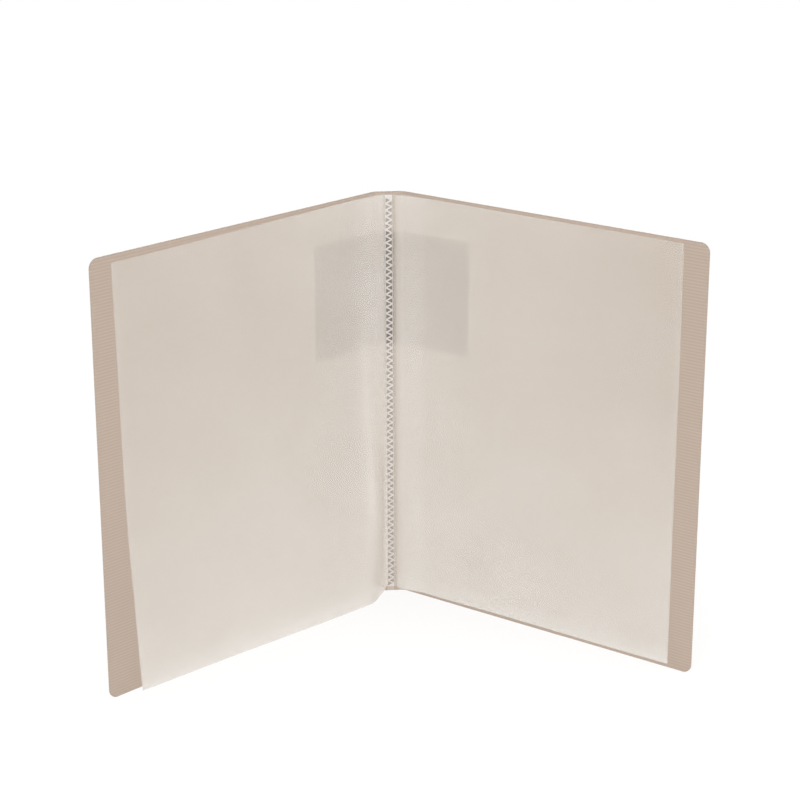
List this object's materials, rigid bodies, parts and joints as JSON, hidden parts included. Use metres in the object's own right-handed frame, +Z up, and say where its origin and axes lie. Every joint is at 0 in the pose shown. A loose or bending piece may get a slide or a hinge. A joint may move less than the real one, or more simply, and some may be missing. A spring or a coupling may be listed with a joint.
{
  "type": "clear pocket display book",
  "caption": "Display book with a creased translucent cover, a spine and clear film pockets for A4 sheets, welded in a toothed band and standing open.",
  "frame": {"origin": "middle of the box round the standing book, on the surface that it stands on", "axes": "+X from the front cover to the back cover, +Y from the opening to the spine, +Z up"},
  "size_m": [0.3956, 0.1472, 0.31],
  "materials": {
    "cover_sheet": "translucent polypropylene with fine embossed lines",
    "pocket_film": "clear soft film",
    "welded_film": "fused film, pressed in a toothed pattern",
    "label_paper": "plain uncoated paper, blank"
  },
  "bodies": {
    "spine": {"spine": "cover_sheet", "spine_label": "label_paper", "page_weld": "welded_film", "front_page_roots": "welded_film", "back_page_roots": "welded_film"},
    "front_cover": {"front_cover": "cover_sheet", "front_label_flap": "label_paper"},
    "back_cover": {"back_cover": "cover_sheet", "back_label_flap": "label_paper"},
    "pocket_01": {"pocket_01_front_film": "pocket_film", "pocket_01_back_film": "pocket_film"},
    "pocket_02": {"pocket_02_front_film": "pocket_film", "pocket_02_back_film": "pocket_film"},
    "pocket_03": {"pocket_03_front_film": "pocket_film", "pocket_03_back_film": "pocket_film"},
    "pocket_04": {"pocket_04_front_film": "pocket_film", "pocket_04_back_film": "pocket_film"},
    "pocket_05": {"pocket_05_front_film": "pocket_film", "pocket_05_back_film": "pocket_film"},
    "pocket_06": {"pocket_06_front_film": "pocket_film", "pocket_06_back_film": "pocket_film"},
    "pocket_07": {"pocket_07_front_film": "pocket_film", "pocket_07_back_film": "pocket_film"},
    "pocket_08": {"pocket_08_front_film": "pocket_film", "pocket_08_back_film": "pocket_film"},
    "pocket_09": {"pocket_09_front_film": "pocket_film", "pocket_09_back_film": "pocket_film"},
    "pocket_10": {"pocket_10_front_film": "pocket_film", "pocket_10_back_film": "pocket_film"},
    "pocket_20": {"pocket_20_front_film": "pocket_film", "pocket_20_back_film": "pocket_film"},
    "pocket_19": {"pocket_19_front_film": "pocket_film", "pocket_19_back_film": "pocket_film"},
    "pocket_18": {"pocket_18_front_film": "pocket_film", "pocket_18_back_film": "pocket_film"},
    "pocket_17": {"pocket_17_front_film": "pocket_film", "pocket_17_back_film": "pocket_film"},
    "pocket_16": {"pocket_16_front_film": "pocket_film", "pocket_16_back_film": "pocket_film"},
    "pocket_15": {"pocket_15_front_film": "pocket_film", "pocket_15_back_film": "pocket_film"},
    "pocket_14": {"pocket_14_front_film": "pocket_film", "pocket_14_back_film": "pocket_film"},
    "pocket_13": {"pocket_13_front_film": "pocket_film", "pocket_13_back_film": "pocket_film"},
    "pocket_12": {"pocket_12_front_film": "pocket_film", "pocket_12_back_film": "pocket_film"},
    "pocket_11": {"pocket_11_front_film": "pocket_film", "pocket_11_back_film": "pocket_film"}
  },
  "joints": [
    {"name": "front_cover_fold", "type": "hinge", "parent": "spine", "child": "front_cover", "pos_m": [-0.01025, 0.07346, 0.155], "axis": [0, 0, -1], "range_deg": [-52, 38]},
    {"name": "back_cover_fold", "type": "hinge", "parent": "spine", "child": "back_cover", "pos_m": [0.01025, 0.07346, 0.155], "axis": [0, 0, 1], "range_deg": [-52, 38]},
    {"name": "pocket_01_fold", "type": "hinge", "parent": "spine", "child": "pocket_01", "pos_m": [-0.00903, 0.07218, 0.155], "axis": [0, 0, -1], "range_deg": [-51.91, 37.94]},
    {"name": "pocket_02_fold", "type": "hinge", "parent": "spine", "child": "pocket_02", "pos_m": [-0.00839, 0.07178, 0.155], "axis": [0, 0, -1], "range_deg": [-51.83, 37.88]},
    {"name": "pocket_03_fold", "type": "hinge", "parent": "spine", "child": "pocket_03", "pos_m": [-0.00775, 0.07138, 0.155], "axis": [0, 0, -1], "range_deg": [-51.75, 37.82]},
    {"name": "pocket_04_fold", "type": "hinge", "parent": "spine", "child": "pocket_04", "pos_m": [-0.00711, 0.07098, 0.155], "axis": [0, 0, -1], "range_deg": [-51.68, 37.77]},
    {"name": "pocket_05_fold", "type": "hinge", "parent": "spine", "child": "pocket_05", "pos_m": [-0.00647, 0.07058, 0.155], "axis": [0, 0, -1], "range_deg": [-51.6, 37.71]},
    {"name": "pocket_06_fold", "type": "hinge", "parent": "spine", "child": "pocket_06", "pos_m": [-0.00583, 0.07018, 0.155], "axis": [0, 0, -1], "range_deg": [-51.52, 37.65]},
    {"name": "pocket_07_fold", "type": "hinge", "parent": "spine", "child": "pocket_07", "pos_m": [-0.00519, 0.06978, 0.155], "axis": [0, 0, -1], "range_deg": [-51.44, 37.6]},
    {"name": "pocket_08_fold", "type": "hinge", "parent": "spine", "child": "pocket_08", "pos_m": [-0.00455, 0.06938, 0.155], "axis": [0, 0, -1], "range_deg": [-51.37, 37.54]},
    {"name": "pocket_09_turn", "type": "hinge", "parent": "pocket_08", "child": "pocket_09", "pos_m": [-0.00429, 0.06906, 0.155], "axis": [0, 0, 1], "range_deg": [0, 22]},
    {"name": "pocket_10_turn", "type": "hinge", "parent": "pocket_09", "child": "pocket_10", "pos_m": [-0.00402, 0.06873, 0.155], "axis": [0, 0, 1], "range_deg": [0, 66]},
    {"name": "pocket_20_fold", "type": "hinge", "parent": "spine", "child": "pocket_20", "pos_m": [0.00903, 0.07218, 0.155], "axis": [0, 0, 1], "range_deg": [-51.91, 37.94]},
    {"name": "pocket_19_fold", "type": "hinge", "parent": "spine", "child": "pocket_19", "pos_m": [0.00839, 0.07178, 0.155], "axis": [0, 0, 1], "range_deg": [-51.88, 37.91]},
    {"name": "pocket_18_fold", "type": "hinge", "parent": "spine", "child": "pocket_18", "pos_m": [0.00775, 0.07138, 0.155], "axis": [0, 0, 1], "range_deg": [-51.84, 37.89]},
    {"name": "pocket_17_fold", "type": "hinge", "parent": "spine", "child": "pocket_17", "pos_m": [0.00711, 0.07098, 0.155], "axis": [0, 0, 1], "range_deg": [-51.81, 37.86]},
    {"name": "pocket_16_fold", "type": "hinge", "parent": "spine", "child": "pocket_16", "pos_m": [0.00647, 0.07058, 0.155], "axis": [0, 0, 1], "range_deg": [-51.78, 37.84]},
    {"name": "pocket_15_fold", "type": "hinge", "parent": "spine", "child": "pocket_15", "pos_m": [0.00583, 0.07018, 0.155], "axis": [0, 0, 1], "range_deg": [-51.74, 37.82]},
    {"name": "pocket_14_fold", "type": "hinge", "parent": "spine", "child": "pocket_14", "pos_m": [0.00519, 0.06978, 0.155], "axis": [0, 0, 1], "range_deg": [-51.71, 37.79]},
    {"name": "pocket_13_fold", "type": "hinge", "parent": "spine", "child": "pocket_13", "pos_m": [0.00455, 0.06938, 0.155], "axis": [0, 0, 1], "range_deg": [-51.68, 37.77]},
    {"name": "pocket_12_turn", "type": "hinge", "parent": "pocket_13", "child": "pocket_12", "pos_m": [0.00429, 0.06906, 0.155], "axis": [0, 0, -1], "range_deg": [0, 22]},
    {"name": "pocket_11_turn", "type": "hinge", "parent": "pocket_12", "child": "pocket_11", "pos_m": [0.00403, 0.06873, 0.155], "axis": [0, 0, -1], "range_deg": [0, 66]}
  ],
  "couplings": [
    {"joint": "pocket_01_fold", "follows": "front_cover_fold", "ratio": 0.99808},
    {"joint": "pocket_02_fold", "follows": "front_cover_fold", "ratio": 0.99658},
    {"joint": "pocket_03_fold", "follows": "front_cover_fold", "ratio": 0.99508},
    {"joint": "pocket_04_fold", "follows": "front_cover_fold", "ratio": 0.99359},
    {"joint": "pocket_05_fold", "follows": "front_cover_fold", "ratio": 0.99209},
    {"joint": "pocket_06_fold", "follows": "front_cover_fold", "ratio": 0.9906},
    {"joint": "pocket_07_fold", "follows": "front_cover_fold", "ratio": 0.9891},
    {"joint": "pocket_08_fold", "follows": "front_cover_fold", "ratio": 0.98761},
    {"joint": "pocket_20_fold", "follows": "back_cover_fold", "ratio": 0.99808},
    {"joint": "pocket_19_fold", "follows": "back_cover_fold", "ratio": 0.99744},
    {"joint": "pocket_18_fold", "follows": "back_cover_fold", "ratio": 0.99679},
    {"joint": "pocket_17_fold", "follows": "back_cover_fold", "ratio": 0.99615},
    {"joint": "pocket_16_fold", "follows": "back_cover_fold", "ratio": 0.99551},
    {"joint": "pocket_15_fold", "follows": "back_cover_fold", "ratio": 0.99487},
    {"joint": "pocket_14_fold", "follows": "back_cover_fold", "ratio": 0.99423},
    {"joint": "pocket_13_fold", "follows": "back_cover_fold", "ratio": 0.99359}
  ]
}
